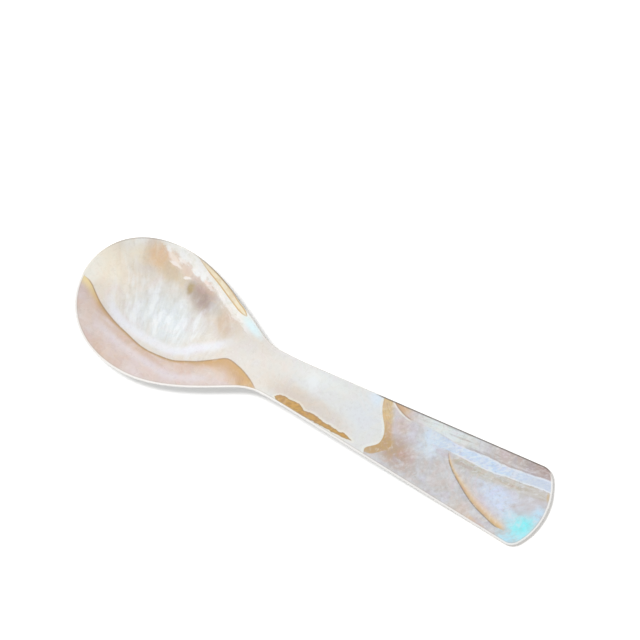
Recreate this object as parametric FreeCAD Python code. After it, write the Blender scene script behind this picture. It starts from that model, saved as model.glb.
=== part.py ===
import FreeCAD, Part
import math
import os

# Caviar spoon carved from one piece of mother-of-pearl shell, in millimetres.
# +X runs from the nose of the bowl to the end of the handle, +Z is up out of the bowl.
# The origin lies on the table, under the middle of the spoon's length.

V = FreeCAD.Vector

# Plan outline. A place is a distance from the nose of the bowl, along the spoon,
# and an arm is how far a smooth curve runs on in the direction that it starts with.
length = 110.0
bowl_width = 29.4
widest_place = 17.0
nose_arm = 7.5
brow_arm = 11.3
shoulder_arm = 8.6
flank_arm = 6.0
flank_angle = 26.7
neck_place = 44.7
neck_width = 10.04
neck_radius = 11.0
neck_lead = 3.6
end_width = 19.1
end_radius = 14.3
end_corner_radius = 3.2

# Bowl, from the side and across
bowl_depth = 5.2
nose_thickness = 1.0
floor_thickness = 1.5
rim_thickness = 0.95
throat_to_neck = 7.4
throat_thickness = 2.1
throat_dish_radius = 26.0

# Neck and handle, from the side and across
neck_step = 0.3
neck_thickness = 2.7
neck_dish_radius = 60.0
neck_to_arch = 15.3
arch_height = 6.75
arch_thickness = 2.75
slope_height = 4.45
slope_thickness = 2.45
tail_run = 6.0
tail_thickness = 2.0
handle_crown_radius = 260.0
handle_belly_radius = 150.0

# Flats ground where the spoon stands, under the bowl and under the tail
bowl_land_depth = 0.15
tail_land_depth = 0.05

# Worked edges: a bevel along the top and a rounding along the underside
top_bevel = 0.26
under_round = 0.42

# Lens-shaped hollow that the growth of the shell left in the handle. Its points are given
# as a distance before the end of the handle and a distance to the side of its middle.
hollow_start = (24.4, 2.6)
hollow_bend = (18.5, -5.2)
hollow_finish = (5.9, -7.0)
hollow_far_start = (24.0, 3.1)
hollow_far_bend = (8.0, 4.4)
hollow_far_finish = (5.6, -6.3)
hollow_depth = 0.4
hollow_wall_run = 0.9

# Shallow channel that deepens towards the end of the handle and runs out over it
channel_start = (34.0, 3.4)
channel_bend = (14.0, 2.2)
channel_finish = (-1.5, 5.3)
channel_far_start = (34.0, 4.4)
channel_far_bend = (16.0, 5.6)
channel_far_finish = (-1.5, 7.6)
channel_depth = 0.25
channel_wall_run = 0.3

# Tools run this far past the stock
margin = 2.0
tool_reach = 12.0
tool_height = 1.5

# Points that carry a line over the top face, and how far above it a tool's edge starts
points_on_line = 9
edge_lift = 0.05


def along(place):
    return place - length / 2


def at(place, side):
    return V(along(place), side, 0)


def from_end(point):
    distance, side = point
    return at(length - distance, side)


def curve_with_poles(*poles):
    bezier = Part.BezierCurve()
    bezier.setPoles(list(poles))
    return bezier


half_bowl = bowl_width / 2
half_neck = neck_width / 2
half_end = end_width / 2
half_span = half_bowl + margin

# The concave neck arc starts where the straight flank of the bowl leaves off.
flank = math.radians(flank_angle)


def on_neck_arc(turn):
    return at(neck_place, half_neck) + V(-math.sin(turn), 1 - math.cos(turn), 0) * neck_radius


flank_foot = on_neck_arc(flank)
flank_run = V(-math.cos(flank), math.sin(flank), 0)
shoulder = curve_with_poles(
    at(widest_place, half_bowl),
    at(widest_place + shoulder_arm, half_bowl),
    flank_foot + flank_run * flank_arm,
    flank_foot,
)

# The side of the handle is straight from a short blend behind the neck up to the end arc.
blend_corner = at(neck_place + neck_lead, half_neck)
side_finish = at(length, half_end)
blend_finish = blend_corner + (side_finish - blend_corner).normalize() * neck_lead
end_centre = at(length - end_radius, 0)
end_circle = Part.Circle(end_centre, V(0, 0, 1), end_radius)
end_crossings = Part.LineSegment(blend_finish, side_finish).intersect(end_circle)
end_corner = max((V(p.X, p.Y, 0) for p in end_crossings), key=lambda p: p.x)


def outline_half():
    """Edges of one side, from the nose to the middle of the handle's end."""
    nose = curve_with_poles(
        at(0, 0),
        at(0, nose_arm),
        at(widest_place - brow_arm, half_bowl),
        at(widest_place, half_bowl),
    )
    neck = Part.Arc(flank_foot, on_neck_arc(flank / 2), on_neck_arc(0))
    blend = curve_with_poles(on_neck_arc(0), blend_corner, blend_finish)
    side = Part.LineSegment(blend_finish, end_corner)
    half_sweep = math.asin(end_corner.y / end_radius) / 2
    end_middle = end_centre + V(math.cos(half_sweep), math.sin(half_sweep), 0) * end_radius
    end = Part.Arc(end_corner, end_middle, at(length, 0))
    return [piece.toShape() for piece in (nose, shoulder, neck, blend, side, end)]


def is_end_corner(edge):
    """Whether an upright edge of the stock stands on one of the two corners of the end."""
    foot = edge.CenterOfMass
    apart = math.hypot(foot.x - end_corner.x, abs(foot.y) - end_corner.y)
    return apart < Part.Precision.confusion() * 100


def make_stock():
    """Upright block with the plan outline of the spoon."""
    side = outline_half()
    other_side = [edge.mirror(V(0, 0, 0), V(0, 1, 0)) for edge in side]
    outline = Part.Wire(Part.__sortEdges__(side + other_side))
    outline.translate(V(0, 0, -tool_reach))
    block = Part.Face(outline).extrude(V(0, 0, 2 * tool_reach))
    corners = [edge for edge in block.Edges if is_end_corner(edge)]
    return block.makeFillet(end_corner_radius, corners)


# The bowl is a paraboloid, so a level rim follows from one depth and one dish across.
# A dish is the curvature across the spoon: one over the radius there, less than 0 for a crown.
bowl_dish = 2 * bowl_depth / half_bowl**2
bowl_under_dish = bowl_dish + 2 * (floor_thickness - rim_thickness) / half_bowl**2
throat_dish = 1 / throat_dish_radius
rim_height = floor_thickness + bowl_depth - bowl_land_depth
floor_height = rim_height - bowl_depth
nose_span = widest_place + margin
nose_height = floor_height + bowl_depth * (nose_span / widest_place) ** 2
nose_slope = -2 * bowl_depth * nose_span / widest_place**2
throat_place = neck_place - throat_to_neck
shoulder_place = (widest_place + throat_place) / 2
shoulder_thickness = (floor_thickness + throat_thickness) / 2
arch_place = neck_place + neck_to_arch
tail_place = length - tail_run
slope_place = (arch_place + tail_place) / 2
tail_height = tail_thickness - tail_land_depth


def level_rim(place, dish):
    """Height of the middle that keeps the rim level behind the bowl's widest place."""
    cut = Part.LineSegment(at(place, 0), at(place, half_span))
    half_width = shoulder.intersect(cut)[0].Y
    return rim_height - dish * half_width**2 / 2


# One row for each station along the spoon: its place, the height of the top along the middle,
# the thickness there, and the dish across the top and across the underside.
crown = -1 / handle_crown_radius
belly = 1 / handle_belly_radius
neck_dish = 1 / neck_dish_radius
stations = [
    (-margin, nose_height, nose_thickness, bowl_dish, bowl_dish),
    (widest_place, floor_height, floor_thickness, bowl_dish, bowl_under_dish),
    (shoulder_place, level_rim(shoulder_place, bowl_dish), shoulder_thickness, bowl_dish, bowl_under_dish),
    (throat_place, level_rim(throat_place, throat_dish), throat_thickness, throat_dish, throat_dish),
    (neck_place, rim_height + neck_step, neck_thickness, neck_dish, neck_dish),
    (arch_place, arch_height, arch_thickness, crown, belly),
    (slope_place, slope_height, slope_thickness, crown, belly),
    (tail_place, tail_height, tail_thickness, crown, 0),
    (length + margin, tail_height, tail_thickness, crown, 0),
]
places, top_heights, thicknesses, top_dishes, under_dishes = zip(*stations)
under_heights = [top - thickness for top, thickness in zip(top_heights, thicknesses)]


def make_rail(heights, dishes, side, lift):
    """Smooth line of poles along the spoon, on its middle or beside it."""
    points = []
    for place, height, dish in zip(places, heights, dishes):
        points.append(at(place, side) + V(0, 0, height + lift * dish * half_span**2 / 2))
    rail = Part.BSplineCurve()
    rail.interpolate(
        Points=points,
        Parameters=places,
        InitialTangent=V(1, 0, nose_slope),
        FinalTangent=V(1, 0, 0),
        Scale=False,
    )
    return rail


def make_skin(heights, dishes):
    """Smooth face over the whole spoon that is a parabola across it at every place."""
    lines_of_poles = ((-half_span, 1), (0, -1), (half_span, 1))
    rails = [make_rail(heights, dishes, side, lift) for side, lift in lines_of_poles]
    poles = [list(row) for row in zip(*(rail.getPoles() for rail in rails))]
    knots = rails[0].getKnots()
    counts = rails[0].getMultiplicities()
    skin = Part.BSplineSurface()
    skin.buildFromPolesMultsKnots(poles, counts, [3, 3], knots, [0, 1], False, False, rails[0].Degree, 2)
    return skin


top_skin = make_skin(top_heights, top_dishes)
under_skin = make_skin(under_heights, under_dishes)


def laid_on_top(start, bend, finish, sink=lambda share: 0):
    """Line that follows a curve in plan just over the top face, and below that by sink(share)."""
    plan = curve_with_poles(from_end(start), from_end(bend), from_end(finish))
    points = []
    for step in range(points_on_line):
        share = step / (points_on_line - 1)
        foot = plan.value(share)
        hit = top_skin.intersect(Part.Line(foot, foot + V(0, 0, 1)))[0][0]
        points.append(V(hit.X, hit.Y, hit.Z + edge_lift - sink(share)))
    line = Part.BSplineCurve()
    line.interpolate(Points=points)
    return line


def make_hollow_tool(sunk_line, surface_line, lean):
    """Tool whose underside climbs from a sunk line to a line on the surface.

    It leans back over the sunk line, so that the wall there is a slope."""
    floor = Part.makeRuledSurface(sunk_line.toShape(), surface_line.toShape())
    return floor.extrude((V(0, 0, 1) + lean) * tool_height)


def make_lens_hollow():
    sunk = laid_on_top(
        hollow_start, hollow_bend, hollow_finish, lambda share: hollow_depth * math.sin(math.pi * share)
    )
    surface = laid_on_top(hollow_far_start, hollow_far_bend, hollow_far_finish)
    chord = from_end(hollow_finish) - from_end(hollow_start)
    outward = V(chord.y, -chord.x, 0).normalize()
    return make_hollow_tool(sunk, surface, outward * (hollow_wall_run / hollow_depth))


def make_channel():
    sunk = laid_on_top(channel_start, channel_bend, channel_finish, lambda share: channel_depth * share)
    surface = laid_on_top(channel_far_start, channel_far_bend, channel_far_finish)
    return make_hollow_tool(sunk, surface, V(0, -channel_wall_run / channel_depth, 0))


def skin_edges(solid, side):
    """Edges round the large worked face that looks up, for side 1, or down, for side -1."""
    faces = [face for face in solid.Faces if face.Surface.TypeId == "Part::GeomBSplineSurface"]
    large_pair = sorted(faces, key=lambda face: face.Area)[-2:]
    return max(large_pair, key=lambda face: side * face.CenterOfMass.z).Edges


def make_spoon():
    blank = make_stock()
    blank = blank.cut(top_skin.toShape().extrude(V(0, 0, 3 * tool_reach)))
    blank = blank.cut(under_skin.toShape().extrude(V(0, 0, -3 * tool_reach)))
    spoon = blank.Solids[0]
    spoon = spoon.makeChamfer(min(top_bevel, 0.3 * rim_thickness), skin_edges(spoon, 1))
    spoon = spoon.makeFillet(min(under_round, 0.45 * rim_thickness), skin_edges(spoon, -1))
    spoon = spoon.cut(make_lens_hollow())
    spoon = spoon.cut(make_channel())
    table = Part.makeBox(2 * length, 2 * bowl_width, tool_reach, V(-length, -bowl_width, -tool_reach))
    return spoon.cut(table).Solids[0]


os.makedirs("parts", exist_ok=True)
spoon = make_spoon()
spoon.exportStep("parts/spoon.step")
print("spoon:", round(spoon.Volume, 1), "mm3,", len(spoon.Faces), "faces, valid", spoon.isValid())
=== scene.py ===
# %% [markdown]
# A caviar spoon carved from one piece of mother-of-pearl. Metal spoils the taste of caviar,
# so these small spoons are cut from shell, horn or bone. This lesson takes the measured model
# of the spoon as a frame, grows a finer skin over it, and paints the layers of the shell.

# %% Load the frame
import bpy
import numpy as np
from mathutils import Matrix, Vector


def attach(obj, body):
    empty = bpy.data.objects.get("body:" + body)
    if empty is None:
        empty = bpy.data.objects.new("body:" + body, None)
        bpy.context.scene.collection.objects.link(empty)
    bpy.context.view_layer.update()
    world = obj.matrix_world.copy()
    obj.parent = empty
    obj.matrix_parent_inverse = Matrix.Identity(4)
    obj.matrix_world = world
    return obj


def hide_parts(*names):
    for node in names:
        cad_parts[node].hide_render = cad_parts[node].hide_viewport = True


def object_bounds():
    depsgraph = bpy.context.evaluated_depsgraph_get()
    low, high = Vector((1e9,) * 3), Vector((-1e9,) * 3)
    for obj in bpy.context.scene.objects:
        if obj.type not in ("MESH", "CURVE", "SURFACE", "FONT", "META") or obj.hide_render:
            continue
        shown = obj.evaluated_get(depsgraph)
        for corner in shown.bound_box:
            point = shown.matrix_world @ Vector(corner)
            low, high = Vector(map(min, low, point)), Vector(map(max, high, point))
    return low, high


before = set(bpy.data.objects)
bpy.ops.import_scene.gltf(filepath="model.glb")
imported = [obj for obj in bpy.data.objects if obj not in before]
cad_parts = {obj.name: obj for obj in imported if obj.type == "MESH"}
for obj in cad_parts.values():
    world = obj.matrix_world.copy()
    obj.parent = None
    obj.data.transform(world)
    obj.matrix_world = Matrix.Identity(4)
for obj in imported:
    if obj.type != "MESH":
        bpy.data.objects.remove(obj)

cad_low, cad_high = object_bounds()
print("frame box in mm:", [round(v * 1000, 2) for v in (*cad_low, *cad_high)])

# %% [markdown]
# The outline comes first. A carver scribes it on the shell round a template. Here it is drawn
# as a few curves in plan: two for the bowl, an arc for the neck, a straight side and an arc
# for the end. A "place" is how far along the spoon a point is, in millimetres from the nose of
# the bowl, and a "side" is how far it is from the middle line. Only one half is drawn.

# %% Curves with few poles
LENGTH = 110.0
HALF_BOWL = 14.7
HALF_NECK = 5.02
HALF_END = 9.55


def bent_curve(poles, count):
    """Points along a Bezier curve: each layer blends the one before until one curve is left."""
    share = np.linspace(0, 1, count)[:, None]
    layers = [np.array(pole, float)[None, :] for pole in poles]
    while len(layers) > 1:
        layers = [a * (1 - share) + b * share for a, b in zip(layers, layers[1:])]
    return layers[0]


def arc_points(centre, radius, first_angle, last_angle, count):
    """Points along an arc, with angles in radians from the direction of the handle's end."""
    angle = np.linspace(first_angle, last_angle, count)
    return np.array(centre) + radius * np.column_stack((np.cos(angle), np.sin(angle)))


print("half widths in mm: bowl", HALF_BOWL, "neck", HALF_NECK, "end", HALF_END)

# %% [markdown]
# The half runs from the nose over the widest place of the bowl to the neck. Where two curves
# meet they share one direction, so the edge has no kink in which light would catch.

# %% Half of the outline
WIDEST_PLACE = 17
NOSE_ARM = 7.5
BROW_ARM = 11.3
SHOULDER_ARM = 8.6
FLANK_ARM = 6.0
NECK_PLACE = 44.7
NECK_RADIUS = 11.0
flank = np.radians(26.7)
neck_centre = (NECK_PLACE, HALF_NECK + NECK_RADIUS)
neck_arc = arc_points(neck_centre, NECK_RADIUS, -np.pi / 2 - flank, -np.pi / 2, 120)
widest = (WIDEST_PLACE, HALF_BOWL)
brow_pole = (WIDEST_PLACE - BROW_ARM, HALF_BOWL)
nose_curve = bent_curve([(0, 0), (0, NOSE_ARM), brow_pole, widest], 400)
foot = neck_arc[0]
foot_pole = foot + FLANK_ARM * np.array([-np.cos(flank), np.sin(flank)])
shoulder_pole = (WIDEST_PLACE + SHOULDER_ARM, HALF_BOWL)
shoulder_curve = bent_curve([widest, shoulder_pole, foot_pole, foot], 400)
print("the neck arc begins", round(float(foot[0]), 2), "mm behind the nose")

# %% [markdown]
# The straight side of the handle meets the arc of the end in a corner that is rounded off to
# 3.2 mm. The centre of that rounding lies 3.2 mm inside both, and this finds it.

# %% The side of the handle and its rounded end
NECK_LEAD = 3.6
END_RADIUS = 14.3
CORNER_RADIUS = 3.2
blend_corner = np.array([NECK_PLACE + NECK_LEAD, HALF_NECK])
side_run = np.array([LENGTH, HALF_END]) - blend_corner
side_run /= np.linalg.norm(side_run)
side_out = np.array([-side_run[1], side_run[0]])
blend_curve = bent_curve([neck_arc[-1], blend_corner, blend_corner + NECK_LEAD * side_run], 60)
end_centre = np.array([LENGTH - END_RADIUS, 0.0])
offset = blend_corner - CORNER_RADIUS * side_out - end_centre
reach = offset @ side_run
travel = -reach + np.sqrt(reach**2 - offset @ offset + (END_RADIUS - CORNER_RADIUS) ** 2)
corner_centre = end_centre + offset + travel * side_run
to_corner = corner_centre - end_centre
corner_angle = np.arctan2(to_corner[1], to_corner[0])
side_angle = np.arctan2(side_out[1], side_out[0])
corner_arc = arc_points(corner_centre, CORNER_RADIUS, side_angle, corner_angle, 60)
end_arc = arc_points(end_centre, END_RADIUS, corner_angle, 0.0, 200)
pieces = [nose_curve, shoulder_curve, neck_arc, blend_curve, corner_arc, end_arc]
drawn = np.vstack(pieces)
print("the rounded corner lies at", corner_centre.round(2))

# %% [markdown]
# The curves are walked in even steps, so that every part of the edge has as many points as
# the next. The mirrored half closes the loop.

# %% Even steps round the edge
STEPS = 400
step_length = np.hypot(*np.diff(drawn, axis=0).T)
drawn = drawn[np.r_[True, step_length > 1e-9]]
walked = np.r_[0, np.cumsum(np.hypot(*np.diff(drawn, axis=0).T))]
even = np.linspace(0, walked[-1], STEPS + 1)
half_edge = np.column_stack([np.interp(even, walked, drawn[:, axis]) for axis in (0, 1)])
half_edge[[0, -1], 1] = 0
other_half = half_edge[-2:0:-1] * (1, -1)
edge = np.vstack((half_edge, other_half))
ahead = np.roll(edge, -1, axis=0) - np.roll(edge, 1, axis=0)
edge_out = np.column_stack((-ahead[:, 1], ahead[:, 0]))
edge_out /= np.linalg.norm(edge_out, axis=1)[:, None]
print(len(edge), "points round the edge,", round(walked[-1] / STEPS, 3), "mm apart")

# %% [markdown]
# Seen from the side, a shell spoon is one flowing line: down into the bowl, up over the neck
# and down to the table. Each row gives, at one place, the height of the top on the middle
# line, the thickness, and how much the top and the underside are dished across. A smooth curve
# runs through the rows, and across the spoon each slice is a plain parabola.

# %% Heights along the spoon
BOWL_DEPTH = 5.2
FLOOR_TOP = 1.35
BEFORE_NOSE = 2.0
BOWL_DISH = 2 * BOWL_DEPTH / HALF_BOWL**2
UNDER_DISH = BOWL_DISH + 2 * 0.55 / HALF_BOWL**2
THROAT_DISH = 1 / 26
CROWN = -1 / 260
BELLY = 1 / 150
RIM_HEIGHT = 6.55


def level_rim(place, dish):
    """Height of the middle line that keeps the rim level where the shoulder narrows."""
    half_width = np.interp(place, shoulder_curve[:, 0], shoulder_curve[:, 1])
    return RIM_HEIGHT - dish * half_width**2 / 2


nose_run = WIDEST_PLACE + BEFORE_NOSE
nose_top = FLOOR_TOP + BOWL_DEPTH * (nose_run / WIDEST_PLACE) ** 2
rows = [
    (-BEFORE_NOSE, nose_top, 1.0, BOWL_DISH, BOWL_DISH),
    (WIDEST_PLACE, FLOOR_TOP, 1.5, BOWL_DISH, UNDER_DISH),
    (27.15, level_rim(27.15, BOWL_DISH), 1.8, BOWL_DISH, UNDER_DISH),
    (37.3, level_rim(37.3, THROAT_DISH), 2.1, THROAT_DISH, THROAT_DISH),
    (NECK_PLACE, 6.85, 2.7, 1 / 60, 1 / 60),
    (60.0, 6.75, 2.75, CROWN, BELLY),
    (82.0, 4.45, 2.45, CROWN, BELLY),
    (104.0, 1.95, 2.0, CROWN, 0.0),
    (112.0, 1.95, 2.0, CROWN, 0.0),
]
row_place, top_middle, thickness, top_dish, under_dish = np.array(rows).T
print("the deepest point of the bowl is", top_middle.min(), "mm above the table")

# %% [markdown]
# A smooth curve through the rows is a cubic spline. Its slope at each row is found from the
# rule that the bend must not jump there, which is one small set of equations.


# %% A smooth curve through given heights
def flowing(places, values, first_slope=0.0, last_slope=0.0):
    """Function for a cubic spline through the values, with its end slopes given."""
    count = len(places)
    gap = np.diff(places)
    rule = np.eye(count)
    wanted = np.zeros(count)
    wanted[0] = first_slope
    wanted[-1] = last_slope
    for i in range(1, count - 1):
        before = gap[i - 1]
        after = gap[i]
        rule[i, i - 1 : i + 2] = (1 / before, 2 / before + 2 / after, 1 / after)
        rise_before = (values[i] - values[i - 1]) / before**2
        rise_after = (values[i + 1] - values[i]) / after**2
        wanted[i] = 3 * (rise_before + rise_after)
    slope = np.linalg.solve(rule, wanted)

    def height(place):
        i = np.clip(np.searchsorted(places, place) - 1, 0, count - 2)
        t = (place - places[i]) / gap[i]
        start = (1 + 2 * t) * (1 - t) ** 2 * values[i] + t * (1 - t) ** 2 * gap[i] * slope[i]
        finish = t**2 * (3 - 2 * t) * values[i + 1] - t**2 * (1 - t) * gap[i] * slope[i + 1]
        return start + finish

    return height


hill = flowing(np.arange(3.0), np.array([0.0, 1.0, 0.0]))
print("a smooth hill through 0, 1 and 0 is", round(float(hill(0.5)), 3), "high half way up")

# %% [markdown]
# Such curves give the middle lines of the top and the underside, and how much each is dished.
# From them comes the height of the polished spoon at any point of the plan. The underside
# never goes below the table: where it would, it is ground flat, and there the spoon rests.

# %% Top and underside
nose_slope = -2 * BOWL_DEPTH * nose_run / WIDEST_PLACE**2
top_line = flowing(row_place, top_middle, nose_slope)
under_line = flowing(row_place, top_middle - thickness, nose_slope)
top_bend = flowing(row_place, top_dish)
under_bend = flowing(row_place, under_dish)


def polished_top(plan):
    """Height of the top before anything is cut into it, for points (place, side)."""
    place, side = np.moveaxis(plan, -1, 0)
    return top_line(place) + top_bend(place) * side**2 / 2


def polished_under(plan):
    """Height of the underside, ground flat where it meets the table."""
    place, side = np.moveaxis(plan, -1, 0)
    return np.maximum(under_line(place) + under_bend(place) * side**2 / 2, 0.0)


for place in (5, 17, 37, 60, 100):
    middle = np.array([place, 0.0])
    heights = [round(float(surface(middle)), 2) for surface in (polished_top, polished_under)]
    print(place, "mm from the nose: top and underside at", heights)

# %% [markdown]
# Near the end of the handle the polishing wheel has followed the shell's own layers and left
# two shallow forms: a lens-shaped hollow with a crisp curved step, and a channel beside a
# ridge. Each is cut like this: a sunk line, a line on the surface, and straight rulings
# between them. On the other side of the sunk line the wall climbs at an even slope.


# %% Cutting a form with a crisp step into the top
LINE_POINTS = 201
EDGE_LIFT = 0.05


def cut_line(poles, sink):
    """A line in plan with its height: just over the top, less what it is sunk by."""
    share = np.linspace(0, 1, LINE_POINTS)
    plan = bent_curve(poles, LINE_POINTS)
    return np.column_stack((plan, polished_top(plan) + EDGE_LIFT - sink(share)))


def through_ruling(plan, start, run):
    """Where the ruling that passes through each point starts, and how far along it that is."""
    to_point = plan[:, None, :] - start[None, :, :2]
    turn = to_point[..., 0] * run[None, :, 1] - to_point[..., 1] * run[None, :, 0]
    swaps = np.diff(np.sign(turn), axis=1) != 0
    first = swaps.argmax(axis=1)
    one = np.arange(len(plan))
    before = turn[one, first]
    after = turn[one, first + 1]
    part = before / np.where(before == after, 1, before - after)
    base = start[first] * (1 - part)[:, None] + start[first + 1] * part[:, None]
    way = run[first] * (1 - part)[:, None] + run[first + 1] * part[:, None]
    along = ((plan - base[:, :2]) * way).sum(axis=1) / (way**2).sum(axis=1)
    return swaps.any(axis=1), base[:, 2], along, first + part


def cut_form(plan, height, sunk, surface, lean, climb):
    """Lowers the heights to the floor between two lines, and to the wall behind the sunk one."""
    found, base, along, index = through_ruling(plan, sunk, surface[:, :2] - sunk[:, :2])
    far = np.interp(index, np.arange(len(surface)), surface[:, 2])
    floor = base * (1 - along) + far * along
    inside = found & (along >= 0) & (along <= 1)
    height = np.where(inside, np.minimum(height, floor), height)
    found, base, along, index = through_ruling(plan, sunk, np.tile(lean, (len(sunk), 1)))
    wall = base + along * climb
    behind = found & (along >= 0)
    return np.where(behind, np.minimum(height, wall), height)


flat_line = cut_line([(80, 0), (90, 0)], lambda share: 0 * share)
print("a cut line has", len(flat_line), "points and begins at height", flat_line[0, 2].round(2))

# %% [markdown]
# The sunk line of the hollow is its crisp step, and the hollow runs out towards the far corner
# of the handle. The channel is the same kind of cut, long and narrow, and the ridge is what is
# left standing between the two.

# %% The lens-shaped hollow and the channel
HOLLOW_DEPTH = 0.4
HOLLOW_WALL_RUN = 0.9
CHANNEL_DEPTH = 0.25
CHANNEL_WALL_RUN = 0.3
CUTS_BEGIN = 75


def not_sunk(share):
    """No sinking at all, for a line that stays on the surface."""
    return 0 * share


def hollow_sink(share):
    """Deepest half way along the step, and nothing at its two ends."""
    return HOLLOW_DEPTH * np.sin(np.pi * share)


def channel_sink(share):
    """Deeper and deeper towards the end of the handle."""
    return CHANNEL_DEPTH * share


hollow_sunk = cut_line([(85.6, 2.6), (91.5, -5.2), (104.1, -7.0)], hollow_sink)
hollow_surface = cut_line([(86.0, 3.1), (102.0, 4.4), (104.4, -6.3)], not_sunk)
hollow_lean = np.array([-9.6, -18.5]) / np.hypot(9.6, 18.5)
channel_sunk = cut_line([(76.0, 3.4), (96.0, 2.2), (111.5, 5.3)], channel_sink)
channel_surface = cut_line([(76.0, 4.4), (94.0, 5.6), (111.5, 7.6)], not_sunk)
channel_lean = np.array([0.0, -1.0])
hollow_climb = HOLLOW_DEPTH / HOLLOW_WALL_RUN
channel_climb = CHANNEL_DEPTH / CHANNEL_WALL_RUN


def carved_top(plan):
    """Height of the top with both forms cut, for points (place, side)."""
    flat = plan.reshape(-1, 2)
    height = polished_top(flat)
    near = np.flatnonzero(flat[:, 0] > CUTS_BEGIN)
    if len(near):
        hollow = (hollow_sunk, hollow_surface, hollow_lean, hollow_climb)
        channel = (channel_sunk, channel_surface, channel_lean, channel_climb)
        cut = cut_form(flat[near], height[near], *hollow)
        cut = cut_form(flat[near], cut, *channel)
        height[near] = cut
    return height.reshape(plan.shape[:-1])


probe = np.array([[92.0, -1.0], [98.0, -4.5], [104.0, 4.5]])
print("depth of the cuts in mm:", (polished_top(probe) - carved_top(probe)).round(3))

# %% [markdown]
# A carved spoon could be modelled from a subdivided box, but its edge would then be soft and
# its outline only near. This mesh is woven instead from rings that follow the outline: they
# start on a spine along the middle of the top, spread out to the edge, turn over it and run
# back to the spine underneath. So the edge loops lie where light catches the rim.

# %% Rings from the spine to the edge
TOP_RINGS = 46
UNDER_RINGS = 22
BEVEL = 0.26
ROUND = 0.42
SPINE_START = 14.0
SPINE_END = 104.0


def rings_over(inset, count):
    """Plan of rings between the spine and a line inside the edge. The first is the spine."""
    rim = edge - inset * edge_out
    spine = np.column_stack((np.clip(rim[:, 0], SPINE_START, SPINE_END), np.zeros(len(rim))))
    share = np.linspace(0, 1, count)[:, None, None]
    return spine[None] * (1 - share) + rim[None] * share


top_plan = rings_over(BEVEL, TOP_RINGS)
top_rings = np.dstack((top_plan, carved_top(top_plan)))
under_plan = rings_over(ROUND, UNDER_RINGS)[::-1]
under_rings = np.dstack((under_plan, polished_under(under_plan)))
print("rings on the top", top_rings.shape, "and underneath", under_rings.shape)

# %% [markdown]
# The rim is worked by hand: a small rounding along the top, a short upright wall and a larger
# rounding below. Both roundings are quarter circles that lean with the slope of the surface.

# %% Rings round the edge
edge_rings = []
for turn in np.radians([22, 45, 68]):
    plan = edge - BEVEL * (1 - np.sin(turn)) * edge_out
    edge_rings.append(np.column_stack((plan, carved_top(plan) - BEVEL * (1 - np.cos(turn)))))
wall_top = carved_top(edge) - BEVEL
wall_foot = polished_under(edge) + ROUND
for share in np.linspace(0, 1, 5):
    edge_rings.append(np.column_stack((edge, wall_top * (1 - share) + wall_foot * share)))
for turn in np.radians([18, 36, 54, 72]):
    plan = edge - ROUND * (1 - np.cos(turn)) * edge_out
    edge_rings.append(np.column_stack((plan, polished_under(plan) + ROUND * (1 - np.sin(turn)))))
rings = np.concatenate((top_rings, np.array(edge_rings), under_rings))
lowest_wall = float((wall_top - wall_foot).min())
print(len(rings), "rings; the rim wall is", round(lowest_wall, 2), "mm high at its lowest")

# %% [markdown]
# On the spine the two halves meet, so points that lie on each other become one vertex. The
# vertex numbers are put together first, and a face that uses one number twice loses it.

# %% Weave the rings into a mesh
ring_count, loop_count = rings.shape[:2]
numbers = np.arange(ring_count * loop_count).reshape(ring_count, loop_count)


def join_spine(ring, numbers_here):
    """Gives points of a spine ring that lie on each other the same vertex number."""
    _, first, same = np.unique(ring[:, 0].round(6), return_index=True, return_inverse=True)
    return numbers_here[first][same.ravel()]


numbers[0] = join_spine(rings[0], numbers[0])
numbers[-1] = join_spine(rings[-1], numbers[-1])
used, packed = np.unique(numbers, return_inverse=True)
numbers = packed.reshape(numbers.shape)
corners = rings.reshape(-1, 3)[used]
beside = np.roll(numbers, -1, axis=1)
quads = np.stack((numbers[:-1], beside[:-1], beside[1:], numbers[1:]), axis=-1).reshape(-1, 4)
faces = [tuple(dict.fromkeys(quad)) for quad in quads.tolist()]
kept = [i for i, face in enumerate(faces) if len(face) > 2]
print(len(corners), "vertices,", len(kept), "faces")

# %% [markdown]
# The mesh becomes one object with smooth shading. It takes the place of the measured solid and
# rides on the same body, so the lesson's skin and the frame stay one part.

# %% Make the object
skin = bpy.data.meshes.new("nacre_skin")
box_low = np.array(cad_low) * 1000
box_high = np.array(cad_high) * 1000
placed = np.clip(corners - (LENGTH / 2, 0, 0), box_low, box_high) / 1000
skin.from_pydata(placed.tolist(), [], [faces[i] for i in kept])
skin.shade_smooth()
spoon = bpy.data.objects.new("spoon_skin", skin)
bpy.context.scene.collection.objects.link(spoon)
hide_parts("spoon")
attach(spoon, "root")
triangles = sum(len(polygon.vertices) - 2 for polygon in skin.polygons)
print("the skin has", triangles, "triangles")

# %% [markdown]
# A UV map lays the skin out flat, so that its colours can be baked into a picture for other
# programs. The spoon is thin and nearly flat, so the top and the underside each keep their
# plan as one island, and the wall of the edge is unrolled outwards round both.

# %% Lay the skin out flat
SEAM_RING = TOP_RINGS + 5
run_out = np.linalg.norm(np.diff(rings, axis=0), axis=2)
top_flat = rings[:, :, :2].copy()
under_flat = rings[:, :, :2].copy()
for ring in range(TOP_RINGS, SEAM_RING + 1):
    spread = run_out[TOP_RINGS - 1 : ring].sum(axis=0) - BEVEL
    top_flat[ring] = edge + spread[:, None] * edge_out
for ring in range(SEAM_RING, ring_count - UNDER_RINGS):
    spread = run_out[ring : ring_count - UNDER_RINGS].sum(axis=0) - ROUND
    under_flat[ring] = edge + spread[:, None] * edge_out
top_flat = top_flat.reshape(-1, 2)[used]
under_flat = under_flat.reshape(-1, 2)[used]

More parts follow.
